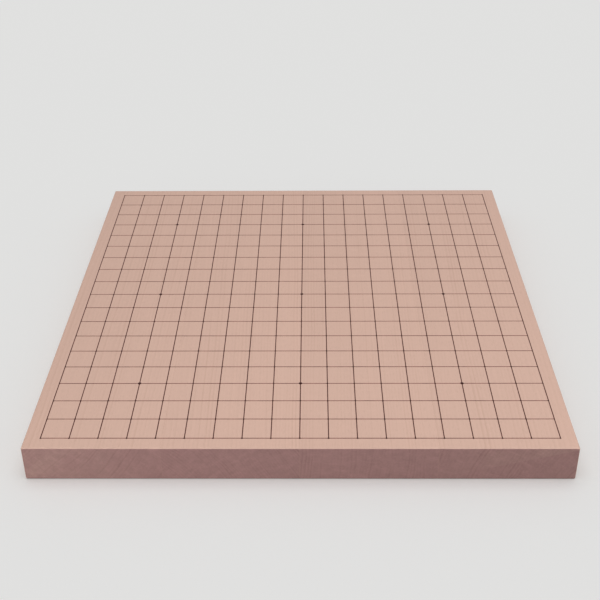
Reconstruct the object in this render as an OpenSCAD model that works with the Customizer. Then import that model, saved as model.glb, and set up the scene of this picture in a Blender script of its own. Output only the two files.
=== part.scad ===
// Table go board: staves of wood glued edge to edge, ruled with lacquer lines and star points.
// Millimetres. X runs across the board, Y along the grain and Z up.
// The origin is on the surface that the board lies on, under its middle.

/* [Grid] */
// Number of ruled lines each way
line_count = 19; // [9, 13, 19]
// Spacing of the lines that run along the grain
pitch_across = 22; // [18:0.1:26]
// Spacing of the lines that run across the grain
pitch_along = 23.7; // [18:0.1:28]
// Width of a ruled line
line_w = 0.8; // [0.4:0.1:1.6]
// Thickness of one coat of lacquer
coat_t = 0.1; // [0.05:0.01:0.3]
// Diameter of a star point
star_d = 3; // [2.4:0.1:6]
// Lines from the border in to the corner star points
star_inset = 3; // [2:1:3]

/* [Board] */
// Bare wood beside the grid, left and right
side_margin = 12.5; // [5:0.1:40]
// Bare wood past the grid, at both ends
end_margin = 12.2; // [5:0.1:40]
// Thickness of the wood
board_t = 30; // [12:1:60]
// Width of the thin chamfer planed along every outer edge
arris = 0.8; // [0.2:0.1:3]

/* [Staves] */
// Number of staves glued edge to edge
stave_count = 4; // [2:1:7]
// Thickness of the glue in each joint
glue_t = 0.1; // [0.05:0.05:0.5]

/* [Hidden] */
// Sizes that follow from the grid, its margins and the joints
grid_w = (line_count - 1) * pitch_across;
grid_l = (line_count - 1) * pitch_along;
board_w = grid_w + 2 * side_margin;
board_l = grid_l + 2 * end_margin;
stave_w = (board_w - (stave_count - 1) * glue_t) / stave_count;

// Heights of the films above the wood: lines along, lines across over them, stars over both
along_top = coat_t;
across_top = along_top + coat_t;
star_top = across_top + coat_t;

// Finishes
wood_colour = "#cfada5";
glue_colour = "#a98477";
lacquer_colour = "#33221f";
star_facets = 48;

// Lines are counted from 0 at the left or near border, and star points in three rows of three
line_x = [for (i = [0 : line_count - 1]) i * pitch_across - grid_w / 2];
line_y = [for (j = [0 : line_count - 1]) j * pitch_along - grid_l / 2];
star_lines = [star_inset, (line_count - 1) / 2, line_count - 1 - star_inset];
star_rows = len(star_lines);
star_count = star_rows * star_rows;

function two_digits(n) = str(n < 10 ? "0" : "", n);
function stave_name(i) = str("stave_", i + 1);
function glue_name(i) = str("glue_line_", i + 1);
function along_name(i) = str("along_line_", two_digits(i + 1));
function across_name(j) = str("across_line_", two_digits(j + 1));
function star_name(k) = str("star_point_", k + 1);

// Rectangle w by h about the middle, with its corners cut off at 45 degrees by c
function clipped_rect(w, h, c) = [
    [w / 2, h / 2 - c], [w / 2 - c, h / 2],
    [c - w / 2, h / 2], [-w / 2, h / 2 - c],
    [-w / 2, c - h / 2], [c - w / 2, -h / 2],
    [w / 2 - c, -h / 2], [w / 2, c - h / 2]
];

// Underside of a film that lies on the wood and over every line along the grain
function film_under() = [
    for (x = line_x)
        for (p = [[-1, 0], [-1, along_top], [1, along_top], [1, 0]])
            [x + p[0] * line_w / 2, p[1]]
];

// Upper side of the same film, one coat above its underside, from right to left
function film_over() = [
    for (i = [line_count - 1 : -1 : 0])
        for (p = [[1, along_top], [1, across_top], [-1, across_top], [-1, along_top]])
            [line_x[i] + p[0] * (line_w / 2 + coat_t), p[1]]
];

// The glued-up panel, planed to size, with its thin chamfer on all outer edges
module board_blank() {
    translate([0, 0, board_t / 2])
    intersection() {
        linear_extrude(board_t, center = true)
            polygon(clipped_rect(board_w, board_l, arris));
        rotate([90, 0, 0])
            linear_extrude(board_l, center = true)
                polygon(clipped_rect(board_w, board_t, arris));
        rotate([90, 0, 90])
            linear_extrude(board_w, center = true)
                polygon(clipped_rect(board_l, board_t, arris));
    }
}

// The slice of the panel that is w wide and starts at x
module panel_slice(x, w) {
    intersection() {
        board_blank();
        translate([x, -board_l / 2, 0])
            cube([w, board_l, board_t]);
    }
}

// One stave, with its grain along Y
module stave(i) {
    color(wood_colour)
        panel_slice(i * (stave_w + glue_t) - board_w / 2, stave_w);
}

// The film of glue between stave i and the next one
module glue_line(i) {
    color(glue_colour)
        panel_slice(i * (stave_w + glue_t) + stave_w - board_w / 2, glue_t);
}

// A line along the grain, ruled first, straight on the wood
module along_line(i) {
    color(lacquer_colour)
        translate([line_x[i] - line_w / 2, -grid_l / 2 - line_w / 2, board_t])
            cube([line_w, grid_l + line_w, along_top]);
}

// A line across the grain, ruled second: it climbs over each line along the grain
module across_line(j) {
    color(lacquer_colour)
        translate([0, line_y[j], board_t])
        intersection() {
            rotate([90, 0, 0])
                linear_extrude(line_w, center = true)
                    polygon(concat(film_under(), film_over()));
            translate([-grid_w / 2 - line_w / 2, -line_w / 2, 0])
                cube([grid_w + line_w, line_w, across_top]);
        }
}

// A star point: a drop of lacquer set last, over a crossing of two lines
module star_point(k) {
    i = star_lines[k % star_rows];
    j = star_lines[floor(k / star_rows)];
    color(lacquer_colour)
        difference() {
            translate([line_x[i], line_y[j], board_t])
                cylinder(d = star_d, h = star_top, $fn = star_facets);
            along_line(i);
            across_line(j);
        }
}

for (i = [0 : stave_count - 1]) stave(i);
for (i = [0 : stave_count - 2]) glue_line(i);
for (i = [0 : line_count - 1]) along_line(i);
for (j = [0 : line_count - 1]) across_line(j);
for (k = [0 : star_count - 1]) star_point(k);
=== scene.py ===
# %% [markdown]
# # A table go board
# The board is a panel of four staves, glued edge to edge and planed flat, with a grid of lacquer
# ruled on its face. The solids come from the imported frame, which fixes every size and place. This
# lesson adds what solids leave out: edges that a plane has eased, lacquer that has rounded as it
# dried, and wood whose rings agree on the face, the sides and the ends.

# %% Load the frame
from collections import namedtuple
import bmesh
import bpy
import numpy as np
from mathutils import Matrix, Vector


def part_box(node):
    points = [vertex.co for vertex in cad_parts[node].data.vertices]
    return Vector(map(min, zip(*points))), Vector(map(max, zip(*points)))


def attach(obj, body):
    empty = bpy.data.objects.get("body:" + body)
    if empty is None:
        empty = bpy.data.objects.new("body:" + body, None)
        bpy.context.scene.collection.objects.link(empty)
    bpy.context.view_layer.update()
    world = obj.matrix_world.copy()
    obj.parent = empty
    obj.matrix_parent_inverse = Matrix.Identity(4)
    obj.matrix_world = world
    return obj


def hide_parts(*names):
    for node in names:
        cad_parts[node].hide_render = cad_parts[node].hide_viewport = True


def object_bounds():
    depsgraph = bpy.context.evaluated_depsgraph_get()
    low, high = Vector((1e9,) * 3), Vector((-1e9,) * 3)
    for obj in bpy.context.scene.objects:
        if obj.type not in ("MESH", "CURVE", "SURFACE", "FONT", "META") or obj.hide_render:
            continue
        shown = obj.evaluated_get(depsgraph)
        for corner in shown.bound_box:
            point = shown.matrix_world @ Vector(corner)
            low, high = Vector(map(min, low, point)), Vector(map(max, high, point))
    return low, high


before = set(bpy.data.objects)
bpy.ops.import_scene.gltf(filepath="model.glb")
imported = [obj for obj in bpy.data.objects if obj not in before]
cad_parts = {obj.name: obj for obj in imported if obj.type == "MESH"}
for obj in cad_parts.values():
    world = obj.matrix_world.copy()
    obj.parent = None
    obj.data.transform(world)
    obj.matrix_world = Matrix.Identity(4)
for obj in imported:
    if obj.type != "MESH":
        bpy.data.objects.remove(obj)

MM = 0.001
cad_low, cad_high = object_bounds()
cad_size = [round(size / MM, 2) for size in cad_high - cad_low]
print("frame:", len(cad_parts), "nodes,", cad_size, "mm")

# %% [markdown]
# ## Reading sizes from the frame
# Sizes could be typed in again here, but then two files would have to agree. The frame already
# holds them, so each piece takes its box from the node that it stands for. Only the width of the
# chamfer is not a box, so it is written once.

# %% Sort the nodes into kinds
ARRIS = 0.8 * MM


def numbered(kind):
    """The nodes of one kind, in the order of their numbers."""
    names = [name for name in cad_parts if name.startswith(kind)]
    return sorted(names, key=lambda name: int(name.removeprefix(kind)))


def box_of(node):
    """The lowest and highest corner of a node, as arrays."""
    low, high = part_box(node)
    return np.array(low), np.array(high)


staves = numbered("stave_")
films = numbered("glue_line_")
along_lines = numbered("along_line_")
across_lines = numbered("across_line_")
star_points = numbered("star_point_")
wood_low = box_of(staves[0])[0]
wood_high = box_of(staves[-1])[1]
wood_top = wood_high[2]
print("wood:", np.round((wood_high - wood_low) / MM, 2), "mm in", len(staves), "staves")

# %% [markdown]
# ## From rings to a mesh
# Every piece of this board is a closed profile carried along a path: a stave, a film of glue, a
# ruled line and even a star point, whose path goes straight up. One helper can therefore make all
# the meshes. It takes the points as one array of rings, joins each ring to the next with quads and
# closes both ends. The signed volume tells whether the faces point outwards. The pieces are also kept
# in one collection, which the lamps will need.

# %% A helper that turns rings into a piece
SMOOTH_UP_TO = np.radians(35)
board = bpy.data.collections.new("board")


def piece_from_rings(name, rings, material, node):
    """Joins rings (path, around, xyz) into a closed mesh and hands it to the frame as a piece."""
    count, around = rings.shape[:2]
    index = np.arange(count * around).reshape(count, around)
    beside = np.roll(index, -1, axis=1)
    quads = np.stack([index[:-1], beside[:-1], beside[1:], index[1:]], axis=-1).reshape(-1, 4)
    faces = quads.tolist() + [index[0, ::-1].tolist(), index[-1].tolist()]
    mesh = bpy.data.meshes.new(name)
    mesh.from_pydata(rings.reshape(-1, 3).tolist(), [], faces)
    solid = bmesh.new()
    solid.from_mesh(mesh)
    if solid.calc_volume(signed=True) < 0:
        mesh.flip_normals()
    solid.free()
    mesh.polygons.foreach_set("use_smooth", np.ones(len(mesh.polygons), bool))
    mesh.set_sharp_from_angle(angle=SMOOTH_UP_TO)
    mesh.materials.append(material)
    piece = bpy.data.objects.new(name, mesh)
    bpy.context.scene.collection.objects.link(piece)
    board.objects.link(piece)
    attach(piece, "root")
    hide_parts(node)
    return piece


print("pieces: edges that turn more than", round(np.degrees(SMOOTH_UP_TO)), "degrees stay sharp")

# %% [markdown]
# ## Small helpers for node trees
# Shader nodes can be placed one by one, but a formula then spreads over dozens of lines. These
# helpers let a formula read as one: a value is either a socket, which gets a link, or a number,
# which is set on the node.

# %% Numbers and links
def feed(tree, socket, value):
    """Links a socket to a socket, or sets it to a plain value."""
    if isinstance(value, bpy.types.NodeSocket):
        tree.links.new(value, socket)
    else:
        socket.default_value = value


def node_of(tree, kind, inputs=None, **settings):
    """A node of a kind, with its settings and its inputs by name."""
    node = tree.nodes.new(kind)
    for setting, value in settings.items():
        setattr(node, setting, value)
    for name, value in (inputs or {}).items():
        feed(tree, node.inputs[name], value)
    return node


def maths(tree, operation, *values):
    """The result of one step of arithmetic."""
    node = node_of(tree, "ShaderNodeMath", operation=operation)
    for socket, value in zip(node.inputs, values):
        feed(tree, socket, value)
    return node.outputs[0]


def vector_of(tree, x, y, z):
    """A vector from three values."""
    return node_of(tree, "ShaderNodeCombineXYZ", {"X": x, "Y": y, "Z": z}).outputs[0]


def scaled(tree, vector, factor):
    """A colour or vector times a number."""
    node = node_of(tree, "ShaderNodeVectorMath", {0: vector, "Scale": factor}, operation="SCALE")
    return node.outputs[0]


print("node helpers:", [helper.__name__ for helper in (feed, node_of, maths, vector_of, scaled)])

# %% [markdown]
# ## Noise and groups
# Neither wood nor lacquer is even, so most values are a soft noise, or a smooth step from one level to
# another. Each is one node, and a helper only has to name its sockets. A recipe that several finishes
# share is best built once, as a node group, so two more helpers make a group and place it.

# %% Steps, noise and groups
NOISE_MIDDLE = 0.5


def between(tree, share, start, end):
    """A straight step from start to end, as share goes from 0 to 1."""
    return maths(tree, "MULTIPLY_ADD", share, end - start, start)


def ramp(tree, value, low, high, start=0.0, end=1.0):
    """A smooth step from start to end, as value goes from low to high."""
    names = {"Value": value, "From Min": low, "From Max": high, "To Min": start, "To Max": end}
    return node_of(tree, "ShaderNodeMapRange", names, interpolation_type="SMOOTHSTEP").outputs[0]


def noise(tree, place, seed, detail=2.0):
    """Soft noise from 0 to 1 with features about one unit wide, different for each seed."""
    inputs = {"Vector": place, "W": seed, "Scale": 1.0, "Detail": detail}
    return node_of(tree, "ShaderNodeTexNoise", inputs, noise_dimensions="4D").outputs[0]


def new_group(name, inputs, outputs):
    """An empty shader node group, with the sockets that it is given and those that it puts out."""
    tree = bpy.data.node_groups.new(name, "ShaderNodeTree")
    for socket, kind in inputs.items():
        tree.interface.new_socket(name=socket, in_out="INPUT", socket_type="NodeSocket" + kind)
    for socket in outputs:
        tree.interface.new_socket(name=socket, in_out="OUTPUT", socket_type="NodeSocketFloat")
    given = tree.nodes.new("NodeGroupInput").outputs
    out = tree.nodes.new("NodeGroupOutput").inputs
    return tree, given, out


def use_group(tree, group, **inputs):
    """The outputs of a group placed in a material; underscores in the names stand for spaces."""
    node = node_of(tree, "ShaderNodeGroup", node_tree=group)
    for name, value in inputs.items():
        feed(tree, node.inputs[name.replace("_", " ")], value)
    return node.outputs


print("node helpers:", [helper.__name__ for helper in (between, ramp, noise, new_group, use_group)])

# %% [markdown]
# ## The wood, as a log
# A picture of wood grain would slide over the edges and give itself away at the ends. Real grain is
# solid: rings round a pith, fibres along the trunk, pores in lines, and rays that run out from the
# pith. So the next cells describe a log, and each stave is a place in it. The face then shows long
# streaks and the ends show arcs, with nothing to line up. Each kind of mark is a pattern that is
# drawn out along the trunk, so the first thing to settle is how wide and how long it is.

# %% The size of the marks in a log
# Width across and length along the trunk in mm, then a start, so that like sizes don't fall together
MARKS = {"bend": (45, 300, 0.0), "fading": (22, 180, 9.0), "drift": (40, 330, 5.0),
         "figure": (4.6, 140, 0.0), "fibre": (1.4, 95, 0.0), "pore": (0.75, 7.5, 0.0)}


def in_marks(tree, spot, kind):
    """A spot in the log (aside, along and up from the pith), measured in marks of a kind."""
    aside, along, up = spot
    width, length, start = MARKS[kind]
    return vector_of(tree, maths(tree, "DIVIDE", aside, width),
                     maths(tree, "MULTIPLY_ADD", along, 1 / length, start),
                     maths(tree, "DIVIDE", up, width))


print("marks:", {kind: size[:2] for kind, size in MARKS.items()}, "mm wide and long")

# %% [markdown]
# ## Rings
# A plain wave of the distance from the pith gives rings that look printed. No two years are alike:
# the rings bend, they are crowded in places, most are faint, and some fade out. So the distance is
# bent and crowded by noise before it is cut into years, and each year draws its own strength.

# %% A ring for each year
BEND_MM = 9.0
CROWDING_MM = 16.0
CROWDING = 1.5
LATE_WOOD = (0.25, 0.85)
WINTER = (0.99, 0.88)
FAINTEST_YEAR = 0.15
FADING = (0.35, 0.65)
FADED = 0.3
YEARS_BETWEEN_LOGS = 37.0


def growth_rings(tree, spot, radius, ring_gap, seed):
    """Radius plus noise, over the ring gap, plus noise: its whole part is the year, and its fraction
    the season. Dark in late wood, times the year's strength, times patches that fade."""
    bend = maths(tree, "SUBTRACT", noise(tree, in_marks(tree, spot, "bend"), seed), NOISE_MIDDLE)
    grown = maths(tree, "MULTIPLY_ADD", bend, BEND_MM, radius)
    outwards = vector_of(tree, maths(tree, "DIVIDE", grown, CROWDING_MM), 0.0, 0.0)
    hurry = maths(tree, "MULTIPLY", noise(tree, outwards, seed), CROWDING)
    years = maths(tree, "ADD", maths(tree, "DIVIDE", grown, ring_gap), hurry)
    season = maths(tree, "FRACT", years)
    late = maths(tree, "MULTIPLY", ramp(tree, season, *LATE_WOOD), ramp(tree, season, *WINTER))
    year = maths(tree, "MULTIPLY_ADD", seed, YEARS_BETWEEN_LOGS, maths(tree, "FLOOR", years))
    weather = node_of(tree, "ShaderNodeTexWhiteNoise", {"W": year}, noise_dimensions="1D").outputs[0]
    strength = between(tree, maths(tree, "MULTIPLY", weather, weather), FAINTEST_YEAR, 1.0)
    fading = ramp(tree, noise(tree, in_marks(tree, spot, "fading"), seed), *FADING, FADED, 1.0)
    return maths(tree, "MULTIPLY", late, maths(tree, "MULTIPLY", strength, fading))


print("rings: years are crowded every", CROWDING_MM, "mm and the faintest shows", FAINTEST_YEAR)

# %% [markdown]
# ## Pores, rays and the whole log
# Pores are the open ends of cells, short dashes on a face and dots on an end, so they are the middles
# of long cells. Rays are thin sheets that run out from the pith, so their noise is laid on the angle
# round it. Together with the rings and three widths of streak they make one group. It gives plain
# values, and takes the place of the pith, so that four logs come out of one recipe.

# %% A node group for a sawn log
FIGURE_DETAIL = 4.0
FIBRE_DETAIL = 3.0
PORE_EDGE = (0.34, 0.12)
RAYS_PER_TURN = 64.0
RAY_HEIGHT_MM = 4.0
RAY_LENGTH_MM = 14.0
RAY_EDGE = (0.5, 0.72)


def sawn_log():
    """Rings by growth_rings, streaks by noise in three sizes of mark, pores where a cell's middle is
    near, and rays by noise over the turn round the pith, the height and the radius."""
    inputs = {"Place": "Vector", "Pith X": "Float", "Pith Z": "Float", "Lean": "Float",
              "Ring Gap": "Float", "Seed": "Float"}
    outputs = ["Rings", "Figure", "Fibre", "Pores", "Rays", "Drift"]
    tree, given, out = new_group("sawn_log", inputs, outputs)
    seed = given["Seed"]
    in_mm = scaled(tree, given["Place"], 1 / MM)
    x, along, z = node_of(tree, "ShaderNodeSeparateXYZ", {0: in_mm}).outputs
    pith = maths(tree, "MULTIPLY_ADD", along, given["Lean"], given["Pith X"])
    aside = maths(tree, "SUBTRACT", x, pith)
    up = maths(tree, "SUBTRACT", z, given["Pith Z"])
    spot = (aside, along, up)
    spoke = vector_of(tree, aside, 0.0, up)
    radius = node_of(tree, "ShaderNodeVectorMath", {0: spoke}, operation="LENGTH").outputs["Value"]
    feed(tree, out["Rings"], growth_rings(tree, spot, radius, given["Ring Gap"], seed))
    feed(tree, out["Drift"], noise(tree, in_marks(tree, spot, "drift"), seed))
    feed(tree, out["Figure"], noise(tree, in_marks(tree, spot, "figure"), seed, FIGURE_DETAIL))
    feed(tree, out["Fibre"], noise(tree, in_marks(tree, spot, "fibre"), seed, FIBRE_DETAIL))
    in_pores = in_marks(tree, spot, "pore")
    cells = node_of(tree, "ShaderNodeTexVoronoi", {"Vector": in_pores, "Scale": 1.0})
    feed(tree, out["Pores"], ramp(tree, cells.outputs["Distance"], *PORE_EDGE))
    turn = maths(tree, "MULTIPLY", maths(tree, "ARCTAN2", aside, up), RAYS_PER_TURN)
    fan = vector_of(tree, turn, maths(tree, "DIVIDE", along, RAY_HEIGHT_MM),
                    maths(tree, "DIVIDE", radius, RAY_LENGTH_MM))
    feed(tree, out["Rays"], ramp(tree, noise(tree, fan, seed), *RAY_EDGE))
    return tree


log_group = sawn_log()
print("sawn log:", len(log_group.nodes), "nodes")

# %% [markdown]
# ## Wax and hands
# A waxed board is not equally smooth everywhere: cloths and hands leave broad patches that are a
# little duller. Wood and lacquer share them, because the same cloth went over both. That makes it a
# second group, used by every finish, for patches of any size.

# %% A node group for the rubbed wax
WAX_SEED = 2.0
WAX_DETAIL = 3.0


def rubbed_wax():
    """Cloud: noise in patches of a given size, from 0 to 1."""
    tree, given, out = new_group("rubbed_wax", {"Place": "Vector", "Patch": "Float"}, ["Cloud"])
    per_patch = maths(tree, "DIVIDE", 1.0, given["Patch"])
    in_patches = scaled(tree, given["Place"], per_patch)
    feed(tree, out["Cloud"], noise(tree, in_patches, WAX_SEED, WAX_DETAIL))
    return tree


wax_group = rubbed_wax()
print("rubbed wax:", len(wax_group.nodes), "nodes")

# %% [markdown]
# ## Starting a material
# Each finish is one Principled shader whose colour and roughness come from the groups. Object
# coordinates tell the shader where it is on the board. Every piece sits at the origin with its place
# in its mesh, so these coordinates run on from one stave to the next.

# %% A bare material
# A Mix node has sockets for every kind of value, and these are the numbers of those for colours
MIX_SHARE, MIX_FIRST, MIX_SECOND, MIX_RESULT = 0, 6, 7, 2


def bare_material(name):
    """A material with one Principled shader, and its tree."""
    material = bpy.data.materials.new(name)
    material.use_nodes = True
    tree = material.node_tree
    tree.nodes.clear()
    shader = tree.nodes.new("ShaderNodeBsdfPrincipled")
    tree.links.new(shader.outputs[0], tree.nodes.new("ShaderNodeOutputMaterial").inputs["Surface"])
    return material, tree, shader


def object_place(tree):
    """The place of a point in the object's own frame."""
    return tree.nodes.new("ShaderNodeTexCoord").outputs["Object"]


def cloud_of(tree, place, patch):
    """The cloud of the rubbed wax, in patches of a size."""
    return use_group(tree, wax_group, Place=place, Patch=patch)["Cloud"]


def carried(tree, name):
    """The value that a mesh carries under a name, or 0 where it carries none."""
    return node_of(tree, "ShaderNodeAttribute", attribute_name=name).outputs["Fac"]


def blend(tree, share, first, second):
    """A colour between two others."""
    inputs = {MIX_SHARE: share, MIX_FIRST: first, MIX_SECOND: second}
    return node_of(tree, "ShaderNodeMix", inputs, data_type="RGBA").outputs[MIX_RESULT]


material_helpers = (bare_material, object_place, cloud_of, carried, blend)
print("material helpers:", [helper.__name__ for helper in material_helpers])

# %% [markdown]
# ## Four logs
# The rings on the front tell how each stave was sawn: they slope where the pith lies off to one side,
# and stand upright where it lies level with the stave. So each stave has a pith of its own, given
# from the middle of the stave. Its tones are for the face and for the ends. The end tones fall from
# the left stave to the right one: partly each stave's own tone, and partly painted shade that darkens
# the front towards the right.

# %% Where each stave was sawn
Log = namedtuple("Log", "pith_x pith_z lean ring_gap tone end_tone")
# Pith across and up from the middle of the stave, and the ring gap, in mm
# The end tones fall from left to right: partly each stave's own tone, partly painted shade on the front
LOGS = [Log(-148, 126, 0.012, 2.7, 0.985, 1.046),
        Log(-136, -98, -0.016, 2.3, 1.005, 1.014),
        Log(-176, 6, 0.008, 2.5, 0.995, 0.986),
        Log(150, -72, 0.014, 2.8, 1.0, 0.946)]
print("logs:", [log.ring_gap for log in LOGS], "mm between rings")

# %% [markdown]
# ## The colour of the wood
# Three things set the colour. Late wood is a little darker than early wood. The ends are darker and
# redder than the face, where open grain drinks in more wax, and they also carry a painted cast of
# bluish bounced light, which makes them rosier. And a planed edge is burnished in places, so the arris
# is a little paler. The masks for the ends and the arris come in from outside, because they depend on
# the stave.

# %% Colours of the face, the ends and the arris
PALE = (0.605, 0.399, 0.320, 1.0)
LATE = (0.516, 0.325, 0.251, 1.0)
# End grain: darker and redder, plus a painted bluish cast of bounced light
END_PALE_WITH_BOUNCE = (0.412, 0.231, 0.214, 1.0)
END_LATE_WITH_BOUNCE = (0.298, 0.158, 0.146, 1.0)
BURNISHED = (0.672, 0.471, 0.370, 1.0)
FACE_RINGS = 0.58
END_RINGS = 0.58
WORN_PATCH = 18 * MM
WORN_RANGE = (0.35, 0.65)
BURNISH = (0.2, 0.6)


def wood_colour(tree, place, grain, ends, edge):
    """Early to late wood by the rings, face to end by the ends, then to burnished in worn patches."""
    face = blend(tree, maths(tree, "MULTIPLY", grain["Rings"], FACE_RINGS), PALE, LATE)
    end = blend(tree, maths(tree, "MULTIPLY", grain["Rings"], END_RINGS), END_PALE_WITH_BOUNCE, END_LATE_WITH_BOUNCE)
    worn = ramp(tree, cloud_of(tree, place, WORN_PATCH), *WORN_RANGE, *BURNISH)
    return blend(tree, maths(tree, "MULTIPLY", edge, worn), blend(tree, ends, face, end), BURNISHED)


print("wood: face", PALE[:3], "and ends", END_PALE_WITH_BOUNCE[:3])

# %% [markdown]
# ## Light and dark in the wood
# The marks don't change the hue, only how light the wood is, so they are added up as one factor. They
# are stronger on the ends, where each fibre is seen from its open end. A stave also changes slowly
# from one side to the other: on the face, where its fibres run out of it, and on the ends as painted
# shade, which with the end tones darkens the front steadily towards the right.

# %% How light the wood is
# How much each mark changes the lightness, on the face and on the ends
MARK_STRENGTH = {"Figure": (0.05, 0.33), "Fibre": (0.06, 0.22),
                 "Drift": (0.03, 0.05), "Rays": (0.02, 0.07)}
PORE_STRENGTH = -0.07
# Slope across a stave on the face, and on the ends, where it is painted shade, darker to the right
SIDE_SLOPE_AND_END_SHADE = (0.030, -0.034)


def wood_light(tree, grain, ends, beside, log):
    """The log's tone, plus its slope across the stave, plus each mark's distance from its middle value
    times its strength. On the ends, the tone and the slope are partly painted shade, darker towards
    the right."""
    tone = between(tree, ends, log.tone, log.end_tone)
    light = maths(tree, "MULTIPLY_ADD", beside, between(tree, ends, *SIDE_SLOPE_AND_END_SHADE), tone)
    for mark, strengths in MARK_STRENGTH.items():
        shift = maths(tree, "SUBTRACT", grain[mark], NOISE_MIDDLE)
        light = maths(tree, "MULTIPLY_ADD", shift, between(tree, ends, *strengths), light)
    return maths(tree, "MULTIPLY_ADD", grain["Pores"], PORE_STRENGTH, light)


print("marks:", MARK_STRENGTH)

# %% [markdown]
# ## The feel of the wood
# Wax fills most of the grain, so the relief is slight: fibres stand a few hundredths of a millimetre
# proud and pores sink in. The ends are duller than the face, and pores are duller than the wood
# between them. A whole stave then needs only its masks: the ends are known by their place at the foot
# of the chamfer, and the arris by an attribute that the mesh will carry.

# %% Materials for the staves
WAX_PATCH = 90 * MM
FACE_ROUGH = (0.44, 0.56)
END_ROUGHER = 0.14
PORE_ROUGHER = 0.08
FIBRE_RELIEF = 0.5
PORE_RELIEF = -0.6
RELIEF = 0.06 * MM
RELIEF_STRENGTH = 0.35
END_FROM, END_FULL = 0.35 * ARRIS, 0.05 * ARRIS
FIRST_SEED = 1.0
SEEDS_APART = 3.0
WOOD_SHINE = 0.3


def wood_finish(number, low, high):
    """Planed and waxed wood from one log, for the stave between two corners."""
    middle = (low + high) / 2
    log = LOGS[number % len(LOGS)]
    material, tree, shader = bare_material("stave_wood_%d" % (number + 1))
    place = object_place(tree)
    grain = use_group(tree, log_group, Place=place, Lean=log.lean, Ring_Gap=log.ring_gap,
                      Pith_X=middle[0] / MM + log.pith_x, Pith_Z=middle[2] / MM + log.pith_z,
                      Seed=FIRST_SEED + SEEDS_APART * number)
    across, along, _ = node_of(tree, "ShaderNodeSeparateXYZ", {0: place}).outputs
    end_y = float(high[1])
    ends = ramp(tree, maths(tree, "ABSOLUTE", along), end_y - END_FROM, end_y - END_FULL)
    edge = carried(tree, "arris")
    from_middle = maths(tree, "SUBTRACT", across, float(middle[0]))
    beside = maths(tree, "DIVIDE", from_middle, float(high[0] - low[0]))

    colour = wood_colour(tree, place, grain, ends, edge)
    light = wood_light(tree, grain, ends, beside, log)
    feed(tree, shader.inputs["Base Color"], scaled(tree, colour, light))
    rough = between(tree, cloud_of(tree, place, WAX_PATCH), *FACE_ROUGH)
    rough = maths(tree, "MULTIPLY_ADD", ends, END_ROUGHER, rough)
    rough = maths(tree, "MULTIPLY_ADD", grain["Pores"], PORE_ROUGHER, rough)
    feed(tree, shader.inputs["Roughness"], rough)
    relief = maths(tree, "MULTIPLY", grain["Fibre"], FIBRE_RELIEF)
    relief = maths(tree, "MULTIPLY_ADD", grain["Pores"], PORE_RELIEF, relief)
    bump = {"Height": relief, "Strength": RELIEF_STRENGTH, "Distance": RELIEF}
    feed(tree, shader.inputs["Normal"], node_of(tree, "ShaderNodeBump", bump).outputs[0])
    shader.inputs["Specular IOR Level"].default_value = WOOD_SHINE
    return material


wood_finishes = [wood_finish(number, *box_of(node)) for number, node in enumerate(staves)]
print("wood:", [material.name for material in wood_finishes])

# %% [markdown]
# ## The outline of a stave
# A cube with a Bevel modifier would come close, but a bevel rounds every edge, and here the edges at
# the joints must stay square. So the outline of a stave is carried along its length instead. Each
# corner of the outline is a quarter of a superellipse: its power sets how far the planed chamfer has
# worn round. A spare point close to each bend keeps the flat faces flat in the shading.

# %% Four eased corners
WORN = 1.35
ARRIS_STEPS = 8
SQUARE = 0.02 * MM
HOLD = 0.4 * MM
# For each corner: the side that it is on, in x and z, and whether its curve runs the other way
CORNER_SIDES = np.array([[1, 1, -1, -1], [-1, 1, 1, -1]])
CORNER_TURNED = np.array([False, True, False, True])[:, None]

turn = np.linspace(0, np.pi / 2, ARRIS_STEPS)
rising = np.sin(turn) ** (2 / WORN)
falling = np.cos(turn) ** (2 / WORN)
in_bend = np.minimum(rising, falling) ** 2
in_bend = in_bend / in_bend.max()


def outline(outer, square, hold):
    """For each point round a rectangle: the side it is on (-1 or 1 in x and z), how far it is set in
    from that side, and how far it lies in the bend of an outer edge. A corner is a quarter of the
    superellipse |x|^p + |z|^p = 1, with p = WORN, as large as the arris where the edge is outer."""
    ease = np.where(outer, ARRIS, square)[:, None]
    in_x = np.hstack([ease + hold, ease * (1 - rising), 0 * ease])
    in_z = np.hstack([0 * ease, ease * (1 - falling), ease + hold])
    inset = np.stack([in_x, in_z])
    inset = np.where(CORNER_TURNED, inset[..., ::-1], inset)
    points = in_x.shape[1]
    side = np.repeat(CORNER_SIDES, points, axis=1)
    bend = np.tile(np.hstack([0, in_bend, 0]), len(outer)) * np.repeat(outer, points)
    return side, inset.reshape(2, -1), bend


print("outline:", CORNER_TURNED.size * (ARRIS_STEPS + 2), "points round a stave")

# %% [markdown]
# ## Cutting the staves
# Near both ends the outline draws in along the same curve, which makes the arris there. The staves
# have their arris only where an edge is on the outside of the board: the first one on its left, the
# last one on its right, and all of them at the ends.

# %% The surface of a stave
RINGS_ALONG = 40


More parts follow.
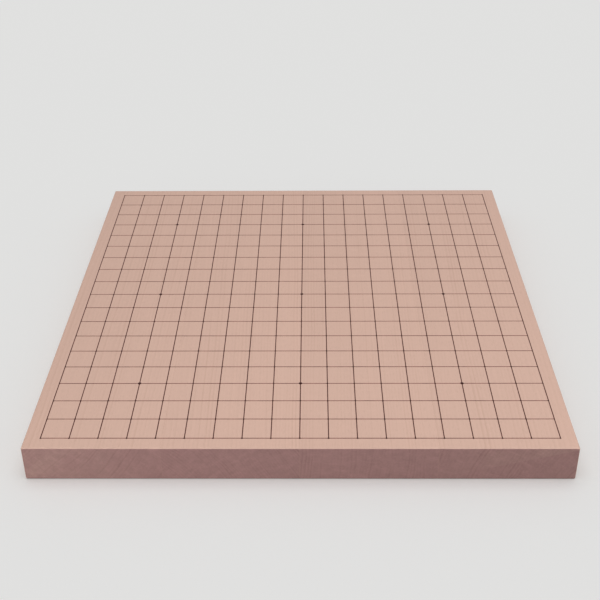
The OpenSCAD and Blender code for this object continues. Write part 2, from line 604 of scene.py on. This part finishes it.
def slab_rings(low, high, open_left, open_right, square=SQUARE, hold=HOLD):
    """The outline of a box, carried along y and drawn in by the same superellipse at both ends. Gives
    the rings and, for each point, how far it lies in the bend of an outer edge, from 0 to 1."""
    side, inset, bend = outline(np.array([open_right, open_right, open_left, open_left]), square, hold)
    step_y = np.hstack([0, ARRIS * (1 - falling), ARRIS + hold])
    between_ends = np.linspace(low[1] + step_y[-1], high[1] - step_y[-1], RINGS_ALONG)[1:-1]
    y = np.hstack([low[1] + step_y, between_ends, high[1] - step_y[::-1]])

    def at_ends(steps):
        """Steps at one end, nothing along the middle, and the same steps at the other end."""
        return np.hstack([steps, 0 * between_ends, steps[::-1]])[:, None]

    drawn = at_ends(np.hstack([ARRIS, ARRIS * (1 - rising), 0]))
    capped = at_ends(np.hstack([hold, 0 * rising, 0]))
    bend_along = at_ends(np.hstack([0, in_bend, 0]))
    right = high[0] - drawn * open_right - capped
    left = low[0] + drawn * open_left + capped
    top = high[2] - drawn - capped
    under = low[2] + drawn + capped
    rings = np.empty((len(y), bend.size, 3))
    rings[..., 0] = np.where(side[0] > 0, right, left) - side[0] * inset[0]
    rings[..., 1] = y[:, None]
    rings[..., 2] = np.where(side[1] > 0, top, under) - side[1] * inset[1]
    return rings, np.maximum(bend, bend_along)


def mark_points(piece, name, values):
    """Keeps a value for each point in the mesh under a name, for the material to read."""
    attribute = piece.data.attributes.new(name, "FLOAT", "POINT")
    attribute.data.foreach_set("value", values.astype(np.float32).ravel())


for number, node in enumerate(staves):
    low, high = box_of(node)
    rings, bend = slab_rings(low, high, number == 0, number == len(staves) - 1)
    piece = piece_from_rings("planed_" + node, rings, wood_finishes[number], node)
    mark_points(piece, "arris", bend)
    middle_mm = round((low[0] + high[0]) / 2 / MM, 1)
    print(piece.name, len(piece.data.polygons), "faces, middle at x =", middle_mm)

# %% [markdown]
# ## The glue in the joints
# The staves meet in a film of glue no thicker than paper. On the board only its edge shows, as a
# hairline that is hard to find. It is the same surface as a stave, very thin, and it lies just below
# the planed wood, because glue is softer than wood and scrapes back.

# %% Glue films
SCRAPED = 0.02 * MM
GLUE_SQUARE = 0.005 * MM
GLUE_HOLD = 0.015 * MM
GLUE_PATCH = 12 * MM
GLUE_PALE = (0.520, 0.337, 0.252, 1.0)
GLUE_DARK = (0.435, 0.267, 0.191, 1.0)
GLUE_ROUGH = (0.4, 0.6)


def glue_finish():
    """Hard amber glue, stained by the wood in patches."""
    material, tree, shader = bare_material("joint_glue")
    cloud = cloud_of(tree, object_place(tree), GLUE_PATCH)
    feed(tree, shader.inputs["Base Color"], blend(tree, cloud, GLUE_PALE, GLUE_DARK))
    feed(tree, shader.inputs["Roughness"], between(tree, cloud, *GLUE_ROUGH))
    return material


glue_material = glue_finish()
back_off = np.array([0, SCRAPED, SCRAPED])
for node in films:
    low, high = box_of(node)
    rings, _ = slab_rings(low + back_off, high - back_off, False, False, GLUE_SQUARE, GLUE_HOLD)
    piece_from_rings("set_" + node, rings, glue_material, node)
print("glue:", len(films), "films,", round(float(high[0] - low[0]) / MM, 2), "mm thick")

# %% [markdown]
# ## Lacquer
# The lines are almost black. Black paint would look the same all along, but lacquer is brown where
# it lies thin, and across the grain the wood drinks more of it. A drop is thicker than a line, and
# deeper in colour, and so is the second coat where two lines cross. So one recipe makes three
# finishes, which differ in how thick the coat is, and a value on the mesh tells where it has pooled.
# The dull shine is kept low, because a pale sky in a shiny black line turns it grey.

# %% Lacquer that thins towards brown
LACQUER_DEEP = (0.034, 0.005, 0.004, 1.0)
LACQUER = (0.066, 0.014, 0.012, 1.0)
LACQUER_THIN = (0.190, 0.066, 0.053, 1.0)
LACQUER_PATCH = 7 * MM
# The cloud at which each coat begins to thin, and at which it is thinnest
ALONG_THINS = (0.52, 0.96)
ACROSS_THINS = (0.25, 0.75)
STAR_THINS = (0.45, 0.85)
LACQUER_ROUGH = (0.34, 0.54)
LACQUER_SHINE = 0.12


def lacquer_finish(name, thick, thin, thin_from, thin_to):
    """From thick to thin lacquer where its cloud rises from one value to another, deepest where it has
    pooled, with wax over it."""
    material, tree, shader = bare_material(name)
    place = object_place(tree)
    thinned = ramp(tree, cloud_of(tree, place, LACQUER_PATCH), thin_from, thin_to)
    coat = blend(tree, thinned, thick, thin)
    feed(tree, shader.inputs["Base Color"], blend(tree, carried(tree, "pooled"), coat, LACQUER_DEEP))
    waxed = cloud_of(tree, place, WAX_PATCH)
    feed(tree, shader.inputs["Roughness"], between(tree, waxed, *LACQUER_ROUGH))
    shader.inputs["Specular IOR Level"].default_value = LACQUER_SHINE
    return material


along_lacquer = lacquer_finish("lacquer_along", LACQUER, LACQUER_THIN, *ALONG_THINS)
across_lacquer = lacquer_finish("lacquer_across", LACQUER, LACQUER_THIN, *ACROSS_THINS)
star_lacquer = lacquer_finish("lacquer_star", LACQUER_DEEP, LACQUER, *STAR_THINS)
print("lacquer:", [material.name for material in (along_lacquer, across_lacquer, star_lacquer)])

# %% [markdown]
# ## The bead of a line
# The lacquer is drawn along a straight edge, and it stands a tenth of a millimetre proud. A flat
# strip would do from far away, but wet lacquer pulls itself into a low bead, and that is what
# catches the light. So half an ellipse is carried along each line. Its width wanders a little, as a
# hand-held tool leaves it, and at each end it draws in to a blunt tip.

# %% Half an ellipse along a path
BEAD_POINTS = 9
UNEVEN = 0.03
WAVES = np.array([11, 27, 64])[:, None] * MM
END_SHARE = 0.45
END_POWER = 4
POOL = 0.55 * MM
CHANCE_SEED = 19

draws = np.random.default_rng(CHANCE_SEED)


def unsteady(path):
    """The mean of three sines of the lengths in WAVES with chance phases, between -1 and 1."""
    phases = draws.uniform(0, 2 * np.pi, WAVES.shape)
    return np.sin(2 * np.pi * path / WAVES + phases).mean(axis=0)


def line_end(path, reach):
    """1 along a line, falling over the last reach of it to END_SHARE at the tip, by a superellipse."""
    to_tip = np.minimum(path - path[0], path[-1] - path)
    gone = np.clip(1 - to_tip / reach, 0, 1)
    return END_SHARE + (1 - END_SHARE) * (1 - gone ** END_POWER) ** (1 / END_POWER)


def bead_rings(axis, path, centre, width, height, lift, pooled):
    """Half an ellipse, width wide and height high, carried along axis on a base lift above the wood. As
    pooled goes from 0 to 1, the bead spreads by POOL on both sides."""
    turn = np.linspace(0, np.pi, BEAD_POINTS)
    taper = line_end(path, width / 2)
    wide = width * taper * (1 + UNEVEN * unsteady(path)) + 2 * POOL * pooled
    tall = height * taper * (1 + UNEVEN * unsteady(path))
    rings = np.empty((len(path), BEAD_POINTS, 3))
    rings[..., axis] = path[:, None]
    rings[..., 1 - axis] = centre + np.cos(turn) * wide[:, None] / 2
    rings[..., 2] = wood_top + lift[:, None] + np.sin(turn) * tall[:, None]
    return rings


print("bead:", BEAD_POINTS, "points round, width uneven by", UNEVEN)

# %% [markdown]
# ## Ruling along the grain
# The lines along the grain are ruled first and lie flat on the wood. Two points would make a straight
# path, but a width that wanders needs one every few millimetres, and a blunt tip needs some close
# together. The middle of each line is kept, because the lines across will meet it there.

# %% Lines along the grain
END_STEPS = np.array([0, 0.1, 0.25, 0.5, 1.0])
STEP_ALONG = 2.4 * MM

crossings = []
for node in along_lines:
    low, high = box_of(node)
    line_width = high[0] - low[0]
    coat = high[2] - low[2]
    tips = END_STEPS * line_width / 2
    inner = np.arange(low[1] + line_width, high[1] - line_width, STEP_ALONG)
    path = np.hstack([low[1] + tips, inner, high[1] - tips[::-1]])
    centre = (low[0] + high[0]) / 2
    rings = bead_rings(1, path, centre, line_width, coat, 0 * path, 0 * path)
    piece_from_rings("ruled_" + node, rings, along_lacquer, node)
    crossings.append(centre)
crossings = np.array(crossings)
line_size = np.round([line_width / MM, coat / MM], 2)
print("along:", len(along_lines), "lines,", line_size, "mm wide and high")

# %% [markdown]
# ## Ruling across the grain
# A line across has to climb over the lines that it meets, or two beads would share one place. The
# climb is a smooth bump in the height of the path. Wet lacquer also creeps into the four corners of a
# crossing, which makes each one a small dark knot, so the line spreads there along quarter circles.
# The points of the path are gathered round the crossings, where they are needed.

# %% Lines across the grain
CLIMB_HALF = np.array([0.25, 0.44, 0.52, 0.6, 0.7, 0.82, 0.96, 1.1, 1.25, 1.5])
CLIMB = np.hstack([-CLIMB_HALF[::-1], 0, CLIMB_HALF])
CLIMB_REACH = 0.62
CLIMB_POWER = 4
BETWEEN_CROSSINGS = np.array([0.25, 0.5, 0.75])
PATH_DIGITS = 7

for node in across_lines:
    low, high = box_of(node)
    depth = high[1] - low[1]
    tips = END_STEPS * depth / 2
    over = (crossings[:, None] + CLIMB * line_width).ravel()
    flat = (crossings[:-1, None] + np.diff(crossings)[:, None] * BETWEEN_CROSSINGS).ravel()
    path = np.hstack([low[0] + tips, over, flat, high[0] - tips])
    path = np.unique(np.round(path[(path >= low[0]) & (path <= high[0])], PATH_DIGITS))
    nearest = np.abs(path[:, None] - crossings).min(axis=1)
    lift = coat * np.exp(-(nearest / (CLIMB_REACH * line_width)) ** CLIMB_POWER)
    past_line = np.clip((nearest - line_width / 2) / POOL, 0, 1)
    pooled = 1 - np.sqrt(1 - (1 - past_line) ** 2)
    rings = bead_rings(0, path, (low[1] + high[1]) / 2, depth, coat, lift, pooled)
    piece = piece_from_rings("ruled_" + node, rings, across_lacquer, node)
    mark_points(piece, "pooled", np.repeat(pooled, BEAD_POINTS))
print("across:", len(across_lines), "lines, each over", len(crossings), "crossings")

# %% [markdown]
# ## Star points
# A star point is one drop of lacquer, set where two lines cross. A flattened sphere would have a
# sharp equator, and a drop on wood has none: it meets the wood at an angle and is almost flat on
# top. So its side is a superellipse, turned once round, with a rim that is not quite a circle.

# %% Drops of lacquer
DROP_AROUND = 48
DROP_STEPS = 9
DROP_POWER = 2.6
RIM_UNEVEN = 0.025
RIM_LOBES = (3, 2)
TOP_LEFT_OPEN = 0.04

rise = np.linspace(0, 1, DROP_STEPS) * (np.pi / 2)
side_out = np.maximum(np.cos(rise) ** (2 / DROP_POWER), TOP_LEFT_OPEN)[:, None]
side_up = np.sin(rise)[:, None] ** (2 / DROP_POWER)
around = np.linspace(0, 2 * np.pi, DROP_AROUND, endpoint=False)
for node in star_points:
    low, high = box_of(node)
    middle = (low + high) / 2
    shift = draws.uniform(0, 2 * np.pi, len(RIM_LOBES))
    wander = np.sin(RIM_LOBES[0] * around + shift[0]) * np.cos(RIM_LOBES[1] * around + shift[1])
    rim = (high[0] - low[0]) / 2 * (1 - RIM_UNEVEN * (1 + wander))
    rings = np.empty((DROP_STEPS, DROP_AROUND, 3))
    rings[..., 0] = middle[0] + side_out * rim * np.cos(around)
    rings[..., 1] = middle[1] + side_out * rim * np.sin(around)
    rings[..., 2] = low[2] + side_up * (high[2] - low[2])
    piece_from_rings("set_" + node, rings, star_lacquer, node)
print("stars:", len(star_points), "drops,", round(float(high[0] - low[0]) / MM, 2), "mm across")

# %% [markdown]
# ## The floor
# The floor only has to be plain and pale. It looks pale to the camera and to reflections, partly by
# a glow that no other ray sees, and gives back less light than that to the board, because a bright
# floor would wash out the dark front. The shadow still falls on it.

# %% A pale floor
FLOOR_HALF = 8.0
FLOOR_DROP = 0.05 * MM
FLOOR_SEEN = (0.93, 0.93, 0.92, 1.0)
FLOOR_LIT = (0.48, 0.48, 0.48, 1.0)
FLOOR_GLOW = 0.09
WHITE = (1.0, 1.0, 1.0, 1.0)


def seen_directly(tree):
    """1 for what the camera, a reflection or clear glass looks at, and 0 for light that only spreads."""
    path = tree.nodes.new("ShaderNodeLightPath").outputs
    seen = maths(tree, "MAXIMUM", path["Is Camera Ray"], path["Is Glossy Ray"])
    return maths(tree, "MAXIMUM", seen, path["Is Transmission Ray"])


def floor_finish():
    """Pale where it is seen, and darker for the light that it gives back."""
    material, tree, shader = bare_material("studio_floor")
    seen = seen_directly(tree)
    feed(tree, shader.inputs["Base Color"], blend(tree, seen, FLOOR_LIT, FLOOR_SEEN))
    shader.inputs["Emission Color"].default_value = WHITE
    feed(tree, shader.inputs["Emission Strength"], maths(tree, "MULTIPLY", seen, FLOOR_GLOW))
    shader.inputs["Roughness"].default_value = 1.0
    shader.inputs["Specular IOR Level"].default_value = 0.0
    return material


corners = np.array([[-1, -1], [1, -1], [1, 1], [-1, 1]]) * FLOOR_HALF
floor_points = np.column_stack([corners, np.full(len(corners), -FLOOR_DROP)])
floor_mesh = bpy.data.meshes.new("floor")
floor_mesh.from_pydata(floor_points.tolist(), [], [list(range(len(corners)))])
floor_mesh.materials.append(floor_finish())
floor = bpy.data.objects.new("floor", floor_mesh)
bpy.context.scene.collection.objects.link(floor)
print("floor:", 2 * FLOOR_HALF, "m square")

# %% [markdown]
# ## The sky
# A pale sky all round gives most of the soft light. What is seen of it has the tone that the floor
# has far away, worked out from the light that falls there, so that no horizon shows in a low view.

# %% A sky that meets the floor
SKY_LEVEL = 0.40
ABOVE_LEVEL = 0.97
ABOVE_SPREAD = np.radians(60)

far_floor = np.array(FLOOR_SEEN[:3]) * (SKY_LEVEL + ABOVE_LEVEL / np.pi) + FLOOR_GLOW
world = bpy.data.worlds.new("studio")
bpy.context.scene.world = world
world.use_nodes = True
sky_tree = world.node_tree
sky_tree.nodes.clear()
spread = node_of(sky_tree, "ShaderNodeBackground", {"Color": WHITE, "Strength": SKY_LEVEL})
seen = node_of(sky_tree, "ShaderNodeBackground", {"Color": (*far_floor, 1), "Strength": 1.0})
choice = sky_tree.nodes.new("ShaderNodeMixShader")
choices = (seen_directly(sky_tree), spread.outputs[0], seen.outputs[0])
for socket, value in zip(choice.inputs, choices):
    feed(sky_tree, socket, value)
node_of(sky_tree, "ShaderNodeOutputWorld", {"Surface": choice.outputs[0]})
print("sky: gives", SKY_LEVEL, "and shows", np.round(far_floor, 3))

# %% [markdown]
# ## The lamps
# A wide even light from above does the rest. One large lamp stands in front on the right, so that the
# near end of the board is a little brighter than the far end. A weaker one stands low on the left,
# for the front. Both are linked to the board alone, because their pools of light would show on the
# floor. The levels add up to about one on a level face, so a colour comes out as it is written.

# %% Hang the lamps
ABOVE_PLACE = (0.0, 0.0, 3.0)
LAMP_PLACE = (0.42, -0.7, 1.2)
LAMP_SIZE = 1.1
LAMP_WATTS = 7.5
LOW_LAMP_PLACE = (-0.8, -1.0, 0.35)
LOW_LAMP_SIZE = 0.6
LOW_LAMP_WATTS = 2.6


def hang_lamp(name, kind, place, strength, lit=None, **settings):
    """A lamp of a kind at a place, facing the middle of the board, for all or for what is lit."""
    lamp = bpy.data.lights.new(name, kind)
    lamp.energy = strength
    for setting, value in settings.items():
        setattr(lamp, setting, value)
    carrier = bpy.data.objects.new(name, lamp)
    carrier.location = place
    carrier.rotation_mode = "QUATERNION"
    carrier.rotation_quaternion = (-Vector(place)).to_track_quat("-Z", "Y")
    carrier.light_linking.receiver_collection = lit
    bpy.context.scene.collection.objects.link(carrier)


hang_lamp("light_above", "SUN", ABOVE_PLACE, ABOVE_LEVEL, angle=ABOVE_SPREAD)
hang_lamp("lamp_in_front", "AREA", LAMP_PLACE, LAMP_WATTS, board, size=LAMP_SIZE)
hang_lamp("lamp_low_left", "AREA", LOW_LAMP_PLACE, LOW_LAMP_WATTS, board, size=LOW_LAMP_SIZE)
print("light:", round(ABOVE_LEVEL / np.pi, 2), "from above")
print("lamps:", LAMP_WATTS, "and", LOW_LAMP_WATTS, "W")

# %% [markdown]
# ## The camera
# The view was worked out from the grid itself: the crossings of a regular grid fix where a camera
# must stand, how it is turned and how long its lens is. The numbers are kept as a place, three
# angles and a lens.

# %% Camera
CAMERA_PLACE = np.array([9.3, -842.3, 534.9]) * MM
CAMERA_TURN, CAMERA_DOWN, CAMERA_ROLL = np.radians([-0.75, 31.26, -0.473])
LENS_MM = 63.05
SENSOR_MM = 36.0

level_ahead = np.array([np.sin(CAMERA_TURN), np.cos(CAMERA_TURN), 0])
level_right = np.array([np.cos(CAMERA_TURN), -np.sin(CAMERA_TURN), 0])
ahead = level_ahead * np.cos(CAMERA_DOWN) - np.array([0, 0, np.sin(CAMERA_DOWN)])
level_up = np.cross(level_right, ahead)
right = level_right * np.cos(CAMERA_ROLL) + level_up * np.sin(CAMERA_ROLL)
up = level_up * np.cos(CAMERA_ROLL) - level_right * np.sin(CAMERA_ROLL)
camera_data = bpy.data.cameras.new("camera")
camera_data.lens = LENS_MM
camera_data.sensor_width = SENSOR_MM
camera = bpy.data.objects.new("camera", camera_data)
pose = np.eye(4)
pose[:3] = np.column_stack([right, up, -ahead, CAMERA_PLACE])
camera.matrix_world = Matrix(pose.tolist())
bpy.context.scene.collection.objects.link(camera)
bpy.context.scene.camera = camera
bpy.context.scene.view_settings.view_transform = "Standard"
print("camera:", LENS_MM, "mm lens,", round(float(np.linalg.norm(CAMERA_PLACE)), 3), "m away")
